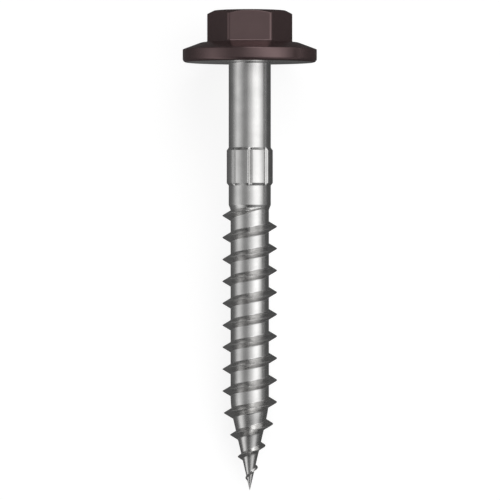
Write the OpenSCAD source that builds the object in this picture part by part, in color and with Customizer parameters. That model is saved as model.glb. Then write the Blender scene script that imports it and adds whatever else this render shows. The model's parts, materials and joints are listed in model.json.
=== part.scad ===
// Flanged hex head timber screw: a cold headed hexagon on a wide conical
// flange, a plain shank with a grooved collar, and a coarse sharp thread
// rolled down to a point. It is one piece of steel.
// All lengths are in millimetres. The screw is drawn standing, head up, with
// the underside of its flange at height 0, and is then laid down to rest.

/* [Hexagon] */
// Width of the hexagon across its flats
hex_af = 8.65; // [8:0.05:9.5]
// Radius of the hexagon's six upright edges
hex_edge = 0.42; // [0.2:0.02:0.6]
// Height of the head, from the flange's underside to its flat top
head_h = 6; // [5:0.02:7]
// Diameter of the flat circle on top of the head
crown_d = 8.3; // [7:0.1:8.4]
// Slope of the bevel round the top of the head, from the flat
crown_slope = 27; // [15:1:35]
// Radius of the fillet where the hexagon grows out of the flange
hex_fillet = 0.4; // [0.1:0.05:0.5]

/* [Flange] */
// Diameter of the flange
flange_d = 15.55; // [14:0.05:17]
// Height of the flange's straight rim
rim_h = 1.51; // [1.3:0.01:1.7]
// Height of the flange where the hexagon stands on it
flange_h = 2.32; // [2.1:0.02:2.8]
// Diameter of the flat ring that the hexagon stands on
ring_d = 11.2; // [11:0.1:12.5]
// Radius that softens the edge of the flat ring
ring_round = 1.2; // [0.2:0.1:2]
// Radius of the rim's upper edge
rim_top_round = 0.12; // [0.05:0.01:0.2]
// Radius of the rim's lower edge
rim_low_round = 0.42; // [0.2:0.02:0.6]

/* [Shank] */
// Length of the screw under its flange
length = 49.6; // [47:0.05:55]
// Diameter of the plain shank
shank_d = 4.88; // [4.7:0.02:5.1]
// Length of the plain shank, collar included, down to its end bevel
shank_l = 16.5; // [15.5:0.05:18]
// Length of the bevel from the shank down to the thread's core
shank_bevel = 0.55; // [0.3:0.05:0.8]
// Fillet between the flange's underside and the shank
neck_fillet = 0.15; // [0.1:0.05:0.3]

/* [Grooved collar] */
// Diameter of the collar
collar_d = 5.36; // [5.25:0.01:5.6]
// Distance from the flange's underside to the collar
collar_top = 9.87; // [8:0.01:11]
// Length of the collar, bevels included
collar_l = 4.4; // [3:0.05:4.8]
// Length of the bevel at each end of the collar
collar_bevel = 0.3; // [0.2:0.05:0.5]
// Number of grooves round the collar
groove_n = 8; // [4:1:12]
// Angle between the two sides of a groove
groove_angle = 98; // [70:1:110]
// Turn of the grooves round the screw, from the middle of the hexagon's flats
groove_turn = 1; // [-20:0.25:20]

/* [Thread] */
// Diameter over the thread's crests
thread_d = 6.32; // [6:0.02:6.8]
// Diameter of the thread's core
core_d = 4.44; // [4.2:0.02:4.6]
// Distance between one turn and the next
pitch = 2.54; // [2.2:0.02:2.8]
// Angle between the two flanks
flank_angle = 60; // [45:1:65]
// Width of the flat on the crest
crest_flat = 0.05; // [0.04:0.01:0.12]
// Distance from the end of the plain shank to the first full crest
thread_start = 1.24; // [0.8:0.02:2]
// Angle over which the thread grows to its full height
run_in = 190; // [90:10:360]
// Angle over which the last turn dies out at the point
run_out = 100; // [60:10:180]
// Distance from the point to where the last turn starts to die out
run_out_end = 1.5; // [1:0.1:3]

/* [Point] */
// Slope of the core's cone, from the axis
core_slope = 13; // [11:0.5:15]
// Slope of the crests' cone, from the axis
crest_slope = 19.3; // [17:0.1:21]
// Distance from the point to the tip of the crests' cone
crest_tip = 0; // [0:0.05:0.5]
// Length over which the core bends into its cone
core_bend = 2.8; // [1:0.1:4]
// Length over which the crests bend into their cone
crest_bend = 3.4; // [2:0.1:5]

/* [Hidden] */
$fn = 96;
// Straight pieces to a small rounding, and to one turn of the thread
arc_n = 6;
turn_n = 48;
// Pieces that are joined reach this far into each other, and cuts this far
// past what they cut
sink = 0.15;
overshoot = 0.3;

shank_r = shank_d / 2;
core_r = core_d / 2;
thread_r = thread_d / 2;
flange_r = flange_d / 2;
collar_r = collar_d / 2;
ring_r = ring_d / 2;
crown_r = crown_d / 2;

// Where the two straight cones of the point would leave the straight screw
core_knee = length - core_r / tan(core_slope);
crest_knee = length - crest_tip - thread_r / tan(crest_slope);

// Depth of the first full crest, which is on the left of the screw when one
// flat of the hexagon faces the viewer
thread_top = shank_l + thread_start;
left_side = 180;

// The screw lies on the lower edge of its flange's rim and on the last crest
// below it that still has the full height
back_side = 1 / 4;
rest_turn = floor((crest_knee - crest_bend / 2 - thread_top) / pitch);
rest_crest = thread_top + pitch * (rest_turn + back_side);
rest_tilt = atan((flange_r - thread_r) / (rest_crest + rim_low_round));

// Radius of a bar that runs straight down to a knee and then as a cone, with
// a parabola of the given length that bends one into the other
function tapered(s, r, slope, knee, bend) =
    let (k = tan(slope), start = knee - bend / 2)
    s <= start ? r
    : s <= start + bend ? r - k * pow(s - start, 2) / (2 * bend)
    : r - k * (s - knee);

function core_at(s) = tapered(s, core_r, core_slope, core_knee, core_bend);
function crest_at(s) = tapered(s, thread_r, crest_slope, crest_knee, crest_bend);

// A smooth step from 0 to 1
function eased(x) = let (t = min(max(x, 0), 1)) t * t * (3 - 2 * t);

// Points of a closed outline whose corners [x, y, radius] are rounded
function rounded(corners) = [
    for (i = [0 : len(corners) - 1])
        let (
            n = len(corners),
            c = corners[i],
            p = [c[0], c[1]],
            a = [corners[(i + n - 1) % n][0], corners[(i + n - 1) % n][1]] - p,
            b = [corners[(i + 1) % n][0], corners[(i + 1) % n][1]] - p,
            ua = a / norm(a),
            ub = b / norm(b),
            half = acos(ua * ub) / 2,
            m = (ua + ub) / max(norm(ua + ub), 0.000001),
            centre = p + m * c[2] / sin(half),
            turn = 90 - half,
            side = sign(cross(m, ua))
        )
        if (c[2] == 0) p
        else for (j = [0 : arc_n])
            let (w = side * turn * (2 * j / arc_n - 1))
            centre - c[2] * [m[0] * cos(w) - m[1] * sin(w), m[0] * sin(w) + m[1] * cos(w)]
];

// Outline of the hexagon, grown on all sides by a distance. Corners lie at the
// left and right, and one flat faces the viewer.
function hexagon_outline(grown) =
    let (corner_r = (hex_af / 2 + grown) / cos(30))
    rounded([
        for (i = [0 : 5])
            [corner_r * cos(60 * i), corner_r * sin(60 * i), max(hex_edge + grown, 0)]
    ]);

// The turned form of the whole screw but its hexagon, grooves and thread
module bar() {
    bend_n = 10;
    bend_top = core_knee - core_bend / 2;
    outline = concat(
        [
            [0, flange_h, 0],
            [ring_r, flange_h, ring_round],
            [flange_r, rim_h, rim_top_round],
            [flange_r, 0, rim_low_round],
            [shank_r, 0, neck_fillet],
            [shank_r, -collar_top, 0],
            [collar_r, -collar_top - collar_bevel, 0],
            [collar_r, -collar_top - collar_l + collar_bevel, 0],
            [shank_r, -collar_top - collar_l, 0],
            [shank_r, -shank_l, 0],
            [core_r, -shank_l - shank_bevel, 0]
        ],
        [
            for (i = [0 : bend_n])
                let (s = bend_top + core_bend * i / bend_n)
                [core_at(s), -s, 0]
        ],
        [[0, -length, 0]]
    );
    rotate_extrude() polygon(rounded(outline));
}

// Six sided head with rounded edges, a bevelled top and a fillet round its foot
module hexagon() {
    turned_r = hex_af / 2 / cos(30) + overshoot;
    bevel_drop = (turned_r - crown_r) * tan(crown_slope);
    foot = flange_h - sink;
    intersection() {
        translate([0, 0, foot]) linear_extrude(height = head_h - foot) polygon(hexagon_outline(0));
        union() {
            cylinder(r = turned_r, h = head_h - bevel_drop);
            translate([0, 0, head_h - bevel_drop])
                cylinder(r1 = turned_r, r2 = crown_r, h = bevel_drop);
        }
    }
    hexagon_foot();
}

// Skirt of the hexagon's own outline, whose hollow curve blends the hexagon
// into the flange. Each ring is how far the outline has grown, and its height.
module hexagon_foot() {
    rings = concat(
        [[hex_fillet, flange_h - sink]],
        [
            for (i = [0 : arc_n])
                let (w = 90 * i / arc_n)
                [hex_fillet * (1 - sin(w)), flange_h + hex_fillet * (1 - cos(w))]
        ],
        [[-sink, flange_h + hex_fillet]]
    );
    n = len(hexagon_outline(0));
    top = n * (len(rings) - 1);
    points = [for (q = rings, p = hexagon_outline(q[0])) [p[0], p[1], q[1]]];
    sides = [
        for (q = [0 : n : top - n], j = [0 : n - 1])
            let (k = (j + 1) % n)
            each [[q + j, q + n + j, q + n + k], [q + j, q + n + k, q + k]]
    ];
    ends = [[for (j = [0 : n - 1]) j], [for (j = [0 : n - 1]) top + n - 1 - j]];
    polyhedron(points, concat(sides, ends));
}

// One long groove with straight sloping sides, cut down to the shank
module groove() {
    half_w = (collar_r - shank_r + overshoot) * tan(groove_angle / 2);
    translate([0, 0, -collar_top - collar_l - overshoot])
        linear_extrude(height = collar_l + 2 * overshoot)
            polygon([[shank_r, 0], [collar_r + overshoot, half_w], [collar_r + overshoot, -half_w]]);
}

// Ridge of the thread: one profile carried down a right-handed helix. Its
// foot is sunk in the core, and its crest follows the crests' cone, rises out
// of the bar at the top and sinks back into it at the point.
module thread() {
    first = left_side + run_in;
    top_s = thread_top - pitch * run_in / 360;
    fade_s = length - run_out_end;
    fade_l = pitch * run_out / 360;
    turns = (fade_s + fade_l - top_s) / pitch;
    steps = ceil(turns * turn_n);
    half = tan(flank_angle / 2);
    // Shares of the core's radius that the foot and a sunken crest keep
    foot_share = 0.4;
    sunk_share = 0.9;
    stations = [
        for (i = [0 : steps])
            let (s = top_s + turns * pitch * i / steps)
            [first - 360 * turns * i / steps, s, eased((s - top_s) * 360 / pitch / run_in)
                * eased((fade_s + fade_l - s) / fade_l)]
    ];
    points = [
        for (q = stations)
            let (
                a = q[0],
                s = q[1],
                core = core_at(s),
                foot = max(core - sink, core * foot_share),
                crest = core * sunk_share + (crest_at(s) - core * sunk_share) * q[2],
                w = (crest - foot) * half + crest_flat / 2
            )
            for (p = [[foot, -w], [crest, -crest_flat / 2], [crest, crest_flat / 2], [foot, w]])
                [p[0] * cos(a), p[0] * sin(a), p[1] - s]
    ];
    sides = [
        for (i = [0 : steps - 1], j = [0 : 3])
            let (k = (j + 1) % 4, q = 4 * i)
            each [[q + j, q + 4 + j, q + 4 + k], [q + j, q + 4 + k, q + k]]
    ];
    ends = [[0, 1, 2, 3], [4 * steps + 3, 4 * steps + 2, 4 * steps + 1, 4 * steps]];
    polyhedron(points, concat(sides, ends));
}

module screw() {
    color("silver")
        rotate([rest_tilt - 90, 0, 0])
            union() {
                difference() {
                    bar();
                    for (i = [0 : groove_n - 1])
                        rotate(i * 360 / groove_n - 90 + groove_turn) groove();
                }
                hexagon();
                thread();
            }
}

screw();
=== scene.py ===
import json
import math

import bpy
import numpy as np
from mathutils import Matrix, Vector


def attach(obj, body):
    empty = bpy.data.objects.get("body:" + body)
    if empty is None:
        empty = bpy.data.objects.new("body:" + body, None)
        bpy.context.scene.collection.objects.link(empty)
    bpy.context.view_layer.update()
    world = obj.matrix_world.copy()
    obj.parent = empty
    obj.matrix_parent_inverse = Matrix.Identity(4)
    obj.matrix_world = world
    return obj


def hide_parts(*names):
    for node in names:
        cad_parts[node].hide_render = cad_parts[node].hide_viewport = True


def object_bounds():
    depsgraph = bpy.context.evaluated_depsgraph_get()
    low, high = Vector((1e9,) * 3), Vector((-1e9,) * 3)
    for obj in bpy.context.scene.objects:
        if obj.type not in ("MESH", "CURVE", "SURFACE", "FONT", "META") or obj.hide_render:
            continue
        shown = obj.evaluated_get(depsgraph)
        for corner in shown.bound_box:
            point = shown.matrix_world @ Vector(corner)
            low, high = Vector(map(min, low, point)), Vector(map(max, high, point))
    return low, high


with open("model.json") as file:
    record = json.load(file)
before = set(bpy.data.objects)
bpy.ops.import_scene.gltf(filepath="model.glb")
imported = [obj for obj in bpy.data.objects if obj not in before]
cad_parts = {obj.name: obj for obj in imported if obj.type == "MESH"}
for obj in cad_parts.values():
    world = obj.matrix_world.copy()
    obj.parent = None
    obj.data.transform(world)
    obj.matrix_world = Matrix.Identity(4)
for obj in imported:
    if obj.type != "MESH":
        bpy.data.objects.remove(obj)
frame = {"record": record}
cad_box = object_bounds()

# Painted head. The hexagon and its wide conical flange are cold headed from the wire that
# the whole screw is made of, so every edge is a little round. Lengths are in metres, and
# heights run up the screw's axis from the underside of the flange.
head_height = 0.006
crown_radius = 0.00415
crown_slope = math.radians(27)
crown_round = 0.00025
hexagon_apothem = 0.004325
hexagon_edge_round = 0.00042
hexagon_rim_round = 0.0001
hexagon_fillet = 0.0002
flange_height = 0.00232
flange_radius = 0.007769
ring_radius = 0.0056
ring_round = 0.0012
rim_height = 0.00151
rim_top_round = 0.00012
rim_low_round = 0.00042
shank_radius = 0.00244
neck_fillet = 0.00015
crown_rows = (0.2, 0.5, 0.8)
face_rows = (0.94, 0.75, 0.5, 0.25, 0.05)
underside_outer = 0.0071
underside_inner = 0.0028

# The whole screw is one grid, with rows down its axis and columns round it. Column 0 is
# at the seam, behind the screw's right side, and the columns run clockwise from there.
columns = 144
seam_angle = 380
right_side_column = 8
plain_angles = seam_angle - 360 / columns * np.arange(columns)


def crowded_angles(sectors, offsets):
    """Angles of the columns, crowded where the surface bends. The circle is cut into equal
    sectors, the first one round 360 degrees, and a column lies at its sector's middle plus
    or minus the offset that belongs to its distance from the middle column."""
    per_sector = columns // sectors
    along = np.arange(columns) - right_side_column
    sector = np.round(along / per_sector)
    away = (along - per_sector * sector).astype(int)
    return 360 - 360 / sectors * sector - np.sign(away) * np.array(offsets)[np.abs(away)]


def hexagon_radius(angles):
    """Distance from the axis to a hexagon with rounded corners. Near a corner it is the
    farther crossing of the ray with the corner's circle, and elsewhere the apothem over
    the cosine of the angle to the middle of the side."""
    turn = np.radians(np.abs((angles + 30) % 60 - 30))
    edge = hexagon_edge_round
    centre = (hexagon_apothem - edge) / math.cos(math.radians(30))
    tangent = math.atan2(edge * math.sin(math.radians(30)), centre + edge * math.cos(math.radians(30)))
    near = np.minimum(turn, tangent)
    corner = centre * np.cos(near) + np.sqrt(edge**2 - (centre * np.sin(near)) ** 2)
    return np.where(turn < tangent, corner, hexagon_apothem / np.cos(math.radians(30) - turn))


def turned_profile(corners):
    """Rows of a profile, as arrays (row, radius or height, column). A corner is (radius,
    height, rounding, pieces), and each number may differ from column to column. A rounding
    is an arc that touches both sides, with its centre on the line that halves them."""
    points = [np.array([np.broadcast_to(c[0], columns), np.broadcast_to(c[1], columns)]) for c in corners]
    rows = []
    for before, corner, after, (_, _, rounding, pieces) in zip(
        points[:1] + points, points, points[1:] + points[-1:], corners
    ):
        if pieces == 0:
            rows.append(corner)
            continue
        back = (before - corner) / np.linalg.norm(before - corner, axis=0)
        on = (after - corner) / np.linalg.norm(after - corner, axis=0)
        half = np.arccos(np.sum(back * on, axis=0)) / 2
        middle = (back + on) / np.linalg.norm(back + on, axis=0)
        side = (on - back) / np.linalg.norm(on - back, axis=0)
        centre = corner + middle * rounding / np.sin(half)
        for share in np.linspace(-1, 1, pieces + 1):
            w = share * (np.pi / 2 - half)
            rows.append(centre + rounding * (np.sin(w) * side - np.cos(w) * middle))
    return np.array(rows)


head_angles = crowded_angles(6, [0, 0.5, 1, 1.5, 2, 2.45, 3.2, 5.5, 9.5, 14, 19, 24.5, 30])
hexagon = hexagon_radius(head_angles)
bevel_foot = head_height - (hexagon - crown_radius) * math.tan(crown_slope)
face_foot = flange_height + hexagon_fillet
head_corners = (
    [(share * crown_radius, head_height, 0, 0) for share in crown_rows]
    + [
        (crown_radius, head_height, crown_round, 3),
        (hexagon, bevel_foot, hexagon_rim_round, 4),
    ]
    + [
        (hexagon, face_foot + share * (bevel_foot - face_foot), 0, 0)
        for share in face_rows
    ]
    + [
        (hexagon, flange_height, hexagon_fillet, 5),
        (ring_radius, flange_height, ring_round, 6),
        (flange_radius, rim_height, rim_top_round, 4),
        (flange_radius, (rim_height + rim_low_round) / 2, 0, 0),
        (flange_radius, 0, rim_low_round, 8),
    ]
    + [(radius, 0, 0, 0) for radius in np.linspace(underside_outer, underside_inner, 8)]
    + [(shank_radius, 0, neck_fillet, 5)]
)

# Plain shank with its grooved collar. The collar is rolled up out of the shank, with a
# bevel at each end, and its grooves go down to the shank. Depths run down the axis.
collar_radius = 0.00268
collar_top = 0.00987
collar_length = 0.0044
collar_bevel = 0.0003
collar_round = 0.00003
groove_count = 8
groove_turn = 1
groove_slope = math.tan(math.radians(49))
groove_round = 0.00001
groove_foot_round = 0.004
groove_reach = math.radians(15)
shank_length = 0.0165
shank_bevel = 0.00055
shank_end_round = 0.0002
core_radius = 0.00222


def smooth_least(a, b, blend):
    """The lesser of two surfaces, with a parabola between them where they differ by less than
    the blend."""
    h = np.maximum(blend - np.abs(a - b), 0) / blend
    return np.minimum(a, b) - h**2 * blend / 4


def smooth_most(a, b, blend):
    """The greater of two surfaces, blended in the same way."""
    return -smooth_least(-a, -b, blend)


def groove_radius(angles):
    """Distance from the axis to the sides of a vee that points at the axis and touches the
    shank. On a ray at an angle from the vee's middle, it is the shank's radius times the
    slope over the slope times the cosine less the sine."""
    step = 360 / groove_count
    turn = np.radians(np.abs((angles - groove_turn + step / 2) % step - step / 2))
    turn = np.minimum(np.sqrt(turn**2 + groove_foot_round**2), groove_reach)
    return shank_radius * groove_slope / (groove_slope * np.cos(turn) - np.sin(turn))


groove_angles = groove_turn + crowded_angles(
    groove_count, [0, 0.7, 1.8, 3.6, 4.9, 5.5, 6.1, 8, 14, 22.5]
)
collar_foot = collar_top + collar_length
above_collar = np.linspace(0.0004, collar_top - 0.0003, 10)
on_collar = np.linspace(collar_top + 0.0005, collar_foot - 0.0005, 7)
below_collar = np.linspace(collar_foot + 0.0003, shank_length - 0.0002, 9)
shank_corners = (
    [(shank_radius, -depth, 0, 0) for depth in above_collar]
    + [
        (shank_radius, -collar_top, collar_round, 2),
        (collar_radius, -collar_top - collar_bevel, collar_round, 4),
    ]
    + [(collar_radius, -depth, 0, 0) for depth in on_collar]
    + [
        (collar_radius, -collar_foot + collar_bevel, collar_round, 4),
        (shank_radius, -collar_foot, collar_round, 2),
    ]
    + [(shank_radius, -depth, 0, 0) for depth in below_collar]
    + [(shank_radius, -shank_length, shank_end_round, 3)]
)
end_gap = 0.00006
grid_foot = shank_length + end_gap
grid_foot_radius = shank_radius - end_gap * (shank_radius - core_radius) / shank_bevel
upper = turned_profile(head_corners + shank_corners + [(grid_foot_radius, -grid_foot, 0, 0)])
upper_radii, upper_heights = upper[:, 0], upper[:, 1]
in_collar = (-upper_heights > collar_top) & (-upper_heights < collar_foot)
grooved = smooth_least(upper_radii, groove_radius(groove_angles)[None], groove_round)
upper_radii = np.where(in_collar, np.maximum(grooved, shank_radius), upper_radii)

# Under the flange the columns move from the hexagon's corners to the grooves, and below
# the collar to even steps.
under = upper_heights <= 0
inwards = (underside_outer - upper_radii) / (underside_outer - underside_inner)
to_grooves = np.where(under, np.clip(inwards, 0, 1), 0)
to_plain = np.clip((-upper_heights - collar_foot) / (grid_foot - collar_foot), 0, 1)
upper_angles = head_angles + to_grooves * (groove_angles - head_angles)
upper_angles = upper_angles + to_plain * (plain_angles - upper_angles)

# Thread. It is rolled into the wire as one sharp ridge that climbs to the right, three
# sevenths of a pitch wide at its root, and the blank's end is pinched to the cone of the
# point, where the ridge runs out.
screw_length = 0.0496
thread_radius = 0.00316
pitch = 0.00254
flank = math.tan(math.radians(30))
crest_round = 0.00001
root_round = 0.00004
thread_top = shank_length + 0.00124
run_in = 190
run_out = 100
run_out_end = 0.0015
core_slope = math.tan(math.radians(13))
crest_slope = math.tan(math.radians(19.3))
core_bend = 0.0028
crest_bend = 0.0034
least_half_width = 0.00033
bevel_blend = 0.00003
sunk_share = 0.9


def tapered(depth, radius, slope, bend):
    """Radius of a bar that runs straight and then as a cone whose tip is the screw's point.
    A parabola of the bend's length joins the two, with its middle where they would cross."""
    start = screw_length - radius / slope - bend / 2
    on = np.clip(depth - start, 0, bend)
    return radius - slope * on**2 / (2 * bend) - slope * np.maximum(depth - start - bend, 0)


def eased(x):
    """A smooth step from 0 to 1, three times the square less twice the cube."""
    t = np.clip(x, 0, 1)
    return t * t * (3 - 2 * t)


def core_at(depth):
    """Radius of the bar under the thread: the bevel at the shank's end, then the core."""
    bevel = shank_radius - (depth - shank_length) * (shank_radius - core_radius) / shank_bevel
    return smooth_most(bevel, tapered(depth, core_radius, core_slope, core_bend), bevel_blend)


# The rows follow the ridge. Beside the crest each has a distance from it, given as a plain
# length, a share of the ridge's half width and a share of the flat root beside it. Any three
# of them span more than the ridge climbs from column to column, so a ring cuts two at most.
row_lengths = [0, 10e-6, 20e-6, 60e-6, 30e-6, -20e-6, -70e-6, -30e-6, 0, 30e-6, 80e-6, 60e-6, 40e-6, 20e-6]
row_widths = [0, 0, 0, 0, 1 / 3, 2 / 3, 1, 1, 1, 1, 1, 1, 1, 1]
row_roots = [0, 0, 0, 0, 0, 0, 0, 0, 0, 0, 0, 0.25, 0.5, 0.75]
below = np.array([row_lengths, row_widths, row_roots])
above = np.append(-below[:, :0:-1], [[0], [0], [0]], axis=1)[:, :-1]
row_shares = np.concatenate([[[0], [-1], [-1]], above, below], axis=1)
rows_a_turn = row_shares.shape[1]

seam_crest = thread_top - pitch * (seam_angle - 180) / 360
turns = np.arange(-1, math.ceil((screw_length - seam_crest) / pitch) + 1)
turn = np.repeat(turns, rows_a_turn)[:, None] + np.arange(columns)[None] / columns
lengths, widths, roots = np.tile(row_shares, len(turns))[:, :, None]
crest_depth = seam_crest + pitch * turn
bar_radius = tapered(crest_depth, core_radius, core_slope, core_bend)
ridge_start = thread_top - pitch * run_in / 360
ridge_end = screw_length - run_out_end + pitch * run_out / 360
grown = eased((crest_depth - ridge_start) * 360 / pitch / run_in)
grown = grown * eased((ridge_end - crest_depth) * 360 / pitch / run_out)
sunk = sunk_share * bar_radius
crest_radius = sunk + (tapered(crest_depth, thread_radius, crest_slope, crest_bend) - sunk) * grown
half_width = np.maximum((crest_radius - bar_radius) * flank, least_half_width)
from_crest = lengths + widths * half_width + roots * (pitch / 2 - half_width)
thread_depths = crest_depth + from_crest
ridge_radius = crest_radius - (np.sqrt(from_crest**2 + crest_round**2) - crest_round) / flank
thread_radii = smooth_most(core_at(thread_depths), ridge_radius, root_round)

# Point. Below the last of the ridge the core's cone goes on to its tip in plain rings,
# with fewer columns as it narrows.
cone_top = screw_length - 0.0007
ring_gap = 0.00001
tip_rings = [(36, 0.0006), (36, 0.0004), (12, 0.0003), (12, 0.00017), (12, 0.00007)]
tip_end = screw_length - 0.00002

# One solid. The rows of the thread are cut off at the ring above them and at the ring of
# the point below, and where a ring cuts rows, triangles join them to it.
row_kept = (thread_depths > grid_foot + ring_gap) & (thread_depths < cone_top - ring_gap)
upper_rows = len(upper_radii)
thread_ids = np.where(row_kept, 0, -1)
thread_ids[row_kept] = 1 + upper_rows * columns + np.arange(row_kept.sum())
next_turn = np.append(thread_ids[rows_a_turn:, :1], np.full((rows_a_turn, 1), -1), axis=0)
thread_ids = np.append(thread_ids, next_turn, axis=1)
tip_first = thread_ids.max() + 1
ring_starts = tip_first + columns + np.concatenate([[0], np.cumsum([n for n, _ in tip_rings])])


def ringed(ids):
    """The same ids with the first column again after the last."""
    return np.append(ids, ids[..., :1], axis=-1)


def band(upper_ids, lower_ids):
    """Four sided faces between rows of ids that lie under each other, facing outwards."""
    corners = [upper_ids[..., :-1], upper_ids[..., 1:], lower_ids[..., 1:], lower_ids[..., :-1]]
    return np.stack(corners, axis=-1).reshape(-1, 4)


def triangles(*corners):
    """Triangles from three lists of ids."""
    return np.stack(corners, axis=-1)


upper_ids = ringed(1 + np.arange(upper_rows * columns).reshape(upper_rows, columns))
tip_ring = ringed(tip_first + np.arange(columns))
fours = [band(upper_ids[:-1], upper_ids[1:])]
inner = band(thread_ids[:-1], thread_ids[1:])
fours.append(inner[inner.min(axis=1) >= 0])
threes = [triangles(np.zeros(columns, int), upper_ids[0, 1:], upper_ids[0, :-1])]

column = np.arange(columns)
first = np.argmax(thread_ids >= 0, axis=0)
last = len(thread_ids) - 1 - np.argmax(thread_ids[::-1] >= 0, axis=0)
ring = upper_ids[-1]
gains = first[:-1] - first[1:]
top = thread_ids[first[:-1], column]
next_top = thread_ids[first[1:], column + 1]
second = thread_ids[first[1:] + 1, column + 1]
fours.append(np.stack([
    ring[:-1],
    np.where(gains > 0, next_top, ring[1:]),
    np.where(gains > 0, second, next_top),
    top,
], axis=-1))
threes.append(triangles(ring[:-1], ring[1:], next_top)[gains > 0])
threes.append(triangles(top, second, thread_ids[first[:-1], column + 1])[gains == 2])
losses = last[:-1] - last[1:]
end = thread_ids[last[:-1], column]
next_end = thread_ids[last[1:], column + 1]
across_end = thread_ids[last[1:], column]
above_end = thread_ids[last[:-1] - 1, column]
fours.append(np.stack([
    np.where(losses > 0, above_end, across_end),
    next_end,
    tip_ring[1:],
    np.where(losses > 0, end, tip_ring[:-1]),
], axis=-1))
threes.append(triangles(end, tip_ring[1:], tip_ring[:-1])[losses > 0])
threes.append(triangles(across_end, next_end, above_end)[losses == 2])

ring_ids, ring_points = tip_ring[:-1], []
for (count, above_tip), start in zip(tip_rings, ring_starts):
    every = len(ring_ids) // count
    narrow = start + np.arange(count)
    wide = ringed(ring_ids)
    for k in range(every):
        lower = narrow if k < every / 2 else np.roll(narrow, -1)
        threes.append(triangles(wide[k:-1:every], wide[k + 1 :: every], lower))
    middle = wide[math.ceil(every / 2) : -1 : every] if every > 1 else wide[1:]
    threes.append(triangles(middle, np.roll(narrow, -1), narrow))
    angle = plain_angles[:: columns // count]
    radius = tapered(screw_length - above_tip, core_radius, core_slope, core_bend)
    ring_points.append((np.full(count, radius), angle, np.full(count, above_tip - screw_length)))
    ring_ids = narrow
tip_id = ring_starts[-1]
threes.append(triangles(ringed(ring_ids)[:-1], ringed(ring_ids)[1:], np.full(len(ring_ids), tip_id)))

tip_row = (np.full(columns, core_at(cone_top)), plain_angles, np.full(columns, -cone_top))
thread_row = (
    thread_radii[row_kept],
    np.broadcast_to(plain_angles, thread_radii.shape)[row_kept],
    -thread_depths[row_kept],
)
upper_row = (upper_radii.ravel(), upper_angles.ravel(), upper_heights.ravel())
top_point, end_point = ([0], [0], [head_height]), ([0], [0], [-tip_end])
parts = [top_point, upper_row, thread_row, tip_row, *ring_points, end_point]
radii, angles, heights = (np.concatenate(values) for values in zip(*parts))
angles = np.radians(angles)

# The screw lies as it would come to rest, on the rim of its flange and on a crest of its
# thread. The frame's seat gives the direction of its axis.
seat = next(m for m in frame["record"]["mounts"] if m["name"] == "seat")
upward = -np.array(seat["axis"])
across = np.array([1.0, 0.0, 0.0])
inward = np.cross(upward, across)
placed = (
    (radii * np.cos(angles))[:, None] * across
    + (radii * np.sin(angles))[:, None] * inward
    + heights[:, None] * upward
)

faces = [face.tolist() for group in fours + threes for face in group]
screw_mesh = bpy.data.meshes.new("screw_solid")
screw_mesh.from_pydata(placed.tolist(), [], faces)
screw_mesh.validate()
screw_mesh.shade_smooth()
screw = bpy.data.objects.new("screw_solid", screw_mesh)
bpy.context.scene.collection.objects.link(screw)


# Zinc plate, on all of the screw that isn't painted. It is bright with a soft satin. Fine drawn
# lines run along the shank, and the dies that roll the thread leave marks along its helix.
zinc_tones = [(0.7, 0.695, 0.688, 1), (0.8, 0.795, 0.786, 1)]
zinc_tone_size = 0.0016
zinc_roughness = (0.25, 0.28)
drawn_line_width = 0.00014
drawn_line_length = 0.006
rolled_mark_width = 0.00018
mark_depth = 0.0000003
lean = math.atan2(upward[1], upward[2])


def add_node(material, kind, inputs, **settings):
    """A node of that kind with its settings. Inputs go by name or number, and a value that is
    another node's output is linked to its input."""
    node = material.node_tree.nodes.new("ShaderNode" + kind)
    for name, value in settings.items():
        setattr(node, name, value)
    for socket, value in inputs.items():
        if isinstance(value, bpy.types.NodeSocket):
            material.node_tree.links.new(value, node.inputs[socket])
        else:
            node.inputs[socket].default_value = value
    return node


def new_material(name):
    """A material with an empty node tree."""
    material = bpy.data.materials.new(name)
    material.use_nodes = True
    material.node_tree.nodes.clear()
    return material


def calculated(material, operation, *values):
    """The result of one operation on values or outputs."""
    return add_node(material, "Math", dict(enumerate(values)), operation=operation).outputs[0]


def upright_place(material):
    """Place on the screw as if it stood upright, with Z up its axis."""
    place = add_node(material, "TexCoord", {}).outputs["Object"]
    return add_node(material, "Mapping", {"Vector": place, "Rotation": (lean, 0, 0)}).outputs[0]


def helix_place(material, upright):
    """Place across the thread's helix. The height in turns less the angle round the axis is a
    phase that stays the same along the helix. The place is that phase as a point on a circle
    whose length is the pitch, and the distance from the axis."""
    x, y, z = add_node(material, "SeparateXYZ", {0: upright}).outputs
    climb = calculated(material, "MULTIPLY", z, 2 * math.pi / pitch)
    phase = calculated(material, "SUBTRACT", climb, calculated(material, "ARCTAN2", y, x))
    circle = pitch / (2 * math.pi)
    across_axis = add_node(material, "CombineXYZ", {0: x, 1: y})
    out = add_node(material, "VectorMath", {0: across_axis.outputs[0]}, operation="LENGTH")
    return add_node(material, "CombineXYZ", {
        0: calculated(material, "MULTIPLY", calculated(material, "COSINE", phase), circle),
        1: calculated(material, "MULTIPLY", calculated(material, "SINE", phase), circle),
        2: out.outputs["Value"],
    }).outputs[0]


def noise(material, place, size, detail=2.0):
    """Soft random pattern from 0 to 1 whose patches have about that size."""
    inputs = {"Vector": place, "Scale": 1 / size, "Detail": detail}
    return add_node(material, "TexNoise", inputs).outputs[0]


def ranged(material, value, low, high, start=0.3, end=0.7):
    """The value's part from start to end, spread from low to high."""
    inputs = {"Value": value, "From Min": start, "From Max": end, "To Min": low, "To Max": high}
    return add_node(material, "MapRange", inputs).outputs[0]


def two_tones(material, pattern, tones):
    """A colour between two tones."""
    inputs = {0: ranged(material, pattern, 0, 1), 6: tones[0], 7: tones[1]}
    return add_node(material, "Mix", inputs, data_type="RGBA").outputs[2]


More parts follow.
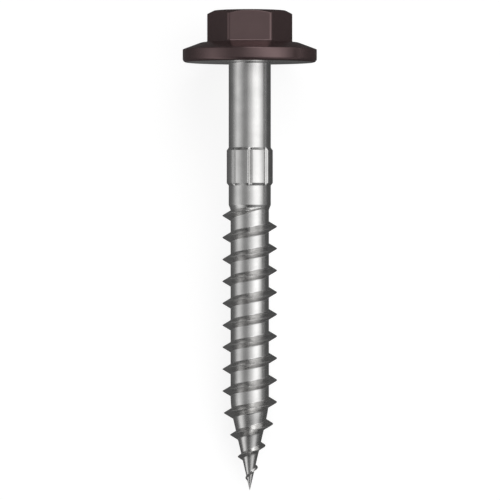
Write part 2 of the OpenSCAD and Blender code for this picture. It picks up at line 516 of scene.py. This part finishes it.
zinc = new_material("zinc_plate")
upright = upright_place(zinc)
stretch = (1, 1, drawn_line_width / drawn_line_length)
along_shank = add_node(zinc, "Mapping", {"Vector": upright, "Scale": stretch}).outputs[0]
drawn = noise(zinc, along_shank, drawn_line_width)
rolled = noise(zinc, helix_place(zinc, upright), rolled_mark_width)
height = add_node(zinc, "SeparateXYZ", {0: upright}).outputs[2]
on_thread = ranged(zinc, height, 0, 1, start=-shank_length, end=-shank_length - shank_bevel)
marks = add_node(zinc, "Mix", {0: on_thread, 2: drawn, 3: rolled}).outputs[0]
tone = two_tones(zinc, noise(zinc, upright, zinc_tone_size), zinc_tones)
zinc_shader = add_node(zinc, "BsdfPrincipled", {
    "Base Color": tone,
    "Metallic": 1,
    "Roughness": ranged(zinc, marks, *zinc_roughness),
    "Normal": add_node(zinc, "Bump", {"Height": marks, "Distance": mark_depth}).outputs[0],
})
add_node(zinc, "OutputMaterial", {"Surface": zinc_shader.outputs[0]})

# Head paint. The head is sprayed brown from above and baked, down to the edge of the flat
# underside. The skin has metal flake in it and a faint peel, and shines a little brown.
paint_tones = [(0.147, 0.1, 0.101, 1), (0.159, 0.108, 0.109, 1)]
paint_tone_size = 0.0025
flake_share = 0.7
edge_tint = (0.78, 0.73, 0.73, 1)
paint_roughness = (0.21, 0.24)
peel_size = 0.0003
peel_depth = 0.0000008
paint_edge = 0.00001

paint = new_material("head_paint")
upright = upright_place(paint)
peel = noise(paint, upright, peel_size)
tone = two_tones(paint, noise(paint, upright, paint_tone_size), paint_tones)
paint_shader = add_node(paint, "BsdfPrincipled", {
    "Base Color": tone,
    "Metallic": flake_share,
    "Specular Tint": edge_tint,
    "Roughness": ranged(paint, peel, *paint_roughness),
    "Normal": add_node(paint, "Bump", {"Height": peel, "Distance": peel_depth}).outputs[0],
})
add_node(paint, "OutputMaterial", {"Surface": paint_shader.outputs[0]})

screw_mesh.materials.append(zinc)
screw_mesh.materials.append(paint)
face_centres = np.empty(len(screw_mesh.polygons) * 3)
screw_mesh.polygons.foreach_get("center", face_centres)
painted = face_centres.reshape(-1, 3) @ upward > paint_edge
screw_mesh.polygons.foreach_set("material_index", painted.astype(int))

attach(screw, "root")
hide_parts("screw")

# Floor. A plain pale sheet that the camera and the bright metal see as white, and that still
# takes the screw's shadow. A glowing card lies on it under the screw, out of the camera's sight
# and seen only in reflections. It is a painted reflection, dark in its middle and paler to its
# sides, and it paints the metal's dark edges.
floor_width = 4
floor_tone = (0.3, 0.3, 0.3, 1)
floor_glow = 0.85
card_width = 2
card_lift = 0.00002
card_shift = 0.01
card_dark = 0.08
card_pale = 0.33
card_dark_to = 0.01
card_pale_from = 0.08
floor_height = cad_box[0].z


def add_flat(name, width, place, material):
    """A square sheet that lies level."""
    bpy.ops.mesh.primitive_plane_add(size=width, location=place)
    sheet = bpy.context.object
    sheet.name = name
    sheet.data.materials.append(material)
    return sheet


pale = new_material("pale_floor")
path = add_node(pale, "LightPath", {}).outputs
seen = calculated(pale, "MAXIMUM", path["Is Camera Ray"], path["Is Glossy Ray"])
seen = calculated(pale, "MAXIMUM", seen, path["Is Transmission Ray"])
glow = add_node(pale, "Emission", {"Strength": calculated(pale, "MULTIPLY", seen, floor_glow)})
matt = add_node(pale, "BsdfDiffuse", {"Color": floor_tone})
both = add_node(pale, "AddShader", {0: matt.outputs[0], 1: glow.outputs[0]})
add_node(pale, "OutputMaterial", {"Surface": both.outputs[0]})
add_flat("floor", floor_width, (0, 0, floor_height), pale)

# The card's glow is painted reflection: dark under the screw and paler to its sides, seen only by glossy
# rays.
reflection_paint = new_material("painted_reflection_card")
place = add_node(reflection_paint, "TexCoord", {}).outputs["Object"]
off_middle = calculated(reflection_paint, "ABSOLUTE", add_node(reflection_paint, "SeparateXYZ", {0: place}).outputs[0])
painted_reflection_strength = ranged(reflection_paint, off_middle, card_dark, card_pale, card_dark_to, card_pale_from)
card_glow = add_node(reflection_paint, "Emission", {"Strength": painted_reflection_strength})
add_node(reflection_paint, "OutputMaterial", {"Surface": card_glow.outputs[0]})
card = add_flat("painted_reflection_card", card_width, (card_shift, 0, floor_height + card_lift), reflection_paint)
card.visible_camera = False
card.visible_diffuse = False
card.visible_shadow = False
card.visible_transmission = False

# Lamps. Square soft boxes with grids hang round the screw in a dim room. Each has its turn to
# the right of the line of sight, its lift towards the head's end and the angle that its light
# spreads over, all in degrees, and the radiance of its middle.
lamp_distance = 1
left_boxes = [(-70, -40, 70, 1), (-70, 0, 70, 0.8), (-40, 0, 70, 0.2), (-10, 0, 70, 0.2)]
right_boxes = [(20, 0, 70, 0.9), (50, 0, 70, 1.3), (50, -40, 70, 0.4)]
head_boxes = [(20, 40, 70, 1.3), (80, 40, 70, 0.9), (8, 42, 40, 2.1)]
room_light = 0.04
picture_centre = -0.021722
scene = bpy.context.scene
aim = Vector(upward * picture_centre)
front = Vector(-inward)
along = Vector(upward)
right = Vector(across)


def add_softbox(turn, lift, spread, radiance):
    """A soft box with a grid. Seen from the screw it fades to nothing at its edges, so half its
    width is its distance times the tangent of half the spread. Its power is the radiance times
    pi times its area, over what the grid makes its middle brighter, and that is the tangent
    of half the spread over that tangent less the half spread."""
    half = math.radians(spread) / 2
    lamp = bpy.data.lights.new("softbox", "AREA")
    lamp.size = 2 * lamp_distance * math.tan(half)
    lamp.spread = 2 * half
    lamp.energy = radiance * math.pi * lamp.size**2 * (math.tan(half) - half) / math.tan(half)
    box = bpy.data.objects.new("softbox", lamp)
    turn, lift = math.radians(turn), math.radians(lift)
    level = right * math.sin(turn) + front * math.cos(turn)
    side = right * math.cos(turn) - front * math.sin(turn)
    away = along * math.sin(lift) + level * math.cos(lift)
    turned = Matrix([side, away.cross(side), away]).transposed().to_4x4()
    box.matrix_world = Matrix.Translation(aim + away * lamp_distance) @ turned
    scene.collection.objects.link(box)


for box in left_boxes + right_boxes + head_boxes:
    add_softbox(*box)
scene.world = bpy.data.worlds.new("dim_room")
scene.world.use_nodes = True
room = scene.world.node_tree.nodes["Background"]
room.inputs["Color"].default_value = (room_light, room_light, room_light, 1)

# Camera. It looks square at the screw's axis from above, with the middle of the picture a
# little above half its length. At the axis the picture is as wide as 500 of its pixels.
camera_distance = 0.6
picture_width = 500 / 8634
side_step = 0.00003
camera_data = bpy.data.cameras.new("camera")
camera_data.sensor_width = 36
camera_data.lens = camera_data.sensor_width * camera_distance / picture_width
camera_data.clip_end = 10
camera = bpy.data.objects.new("camera", camera_data)
eye = aim + front * camera_distance + right * side_step
camera.matrix_world = Matrix.Translation(eye) @ Matrix([right, along, front]).transposed().to_4x4()
scene.collection.objects.link(camera)
scene.camera = camera
scene.view_settings.view_transform = "Standard"
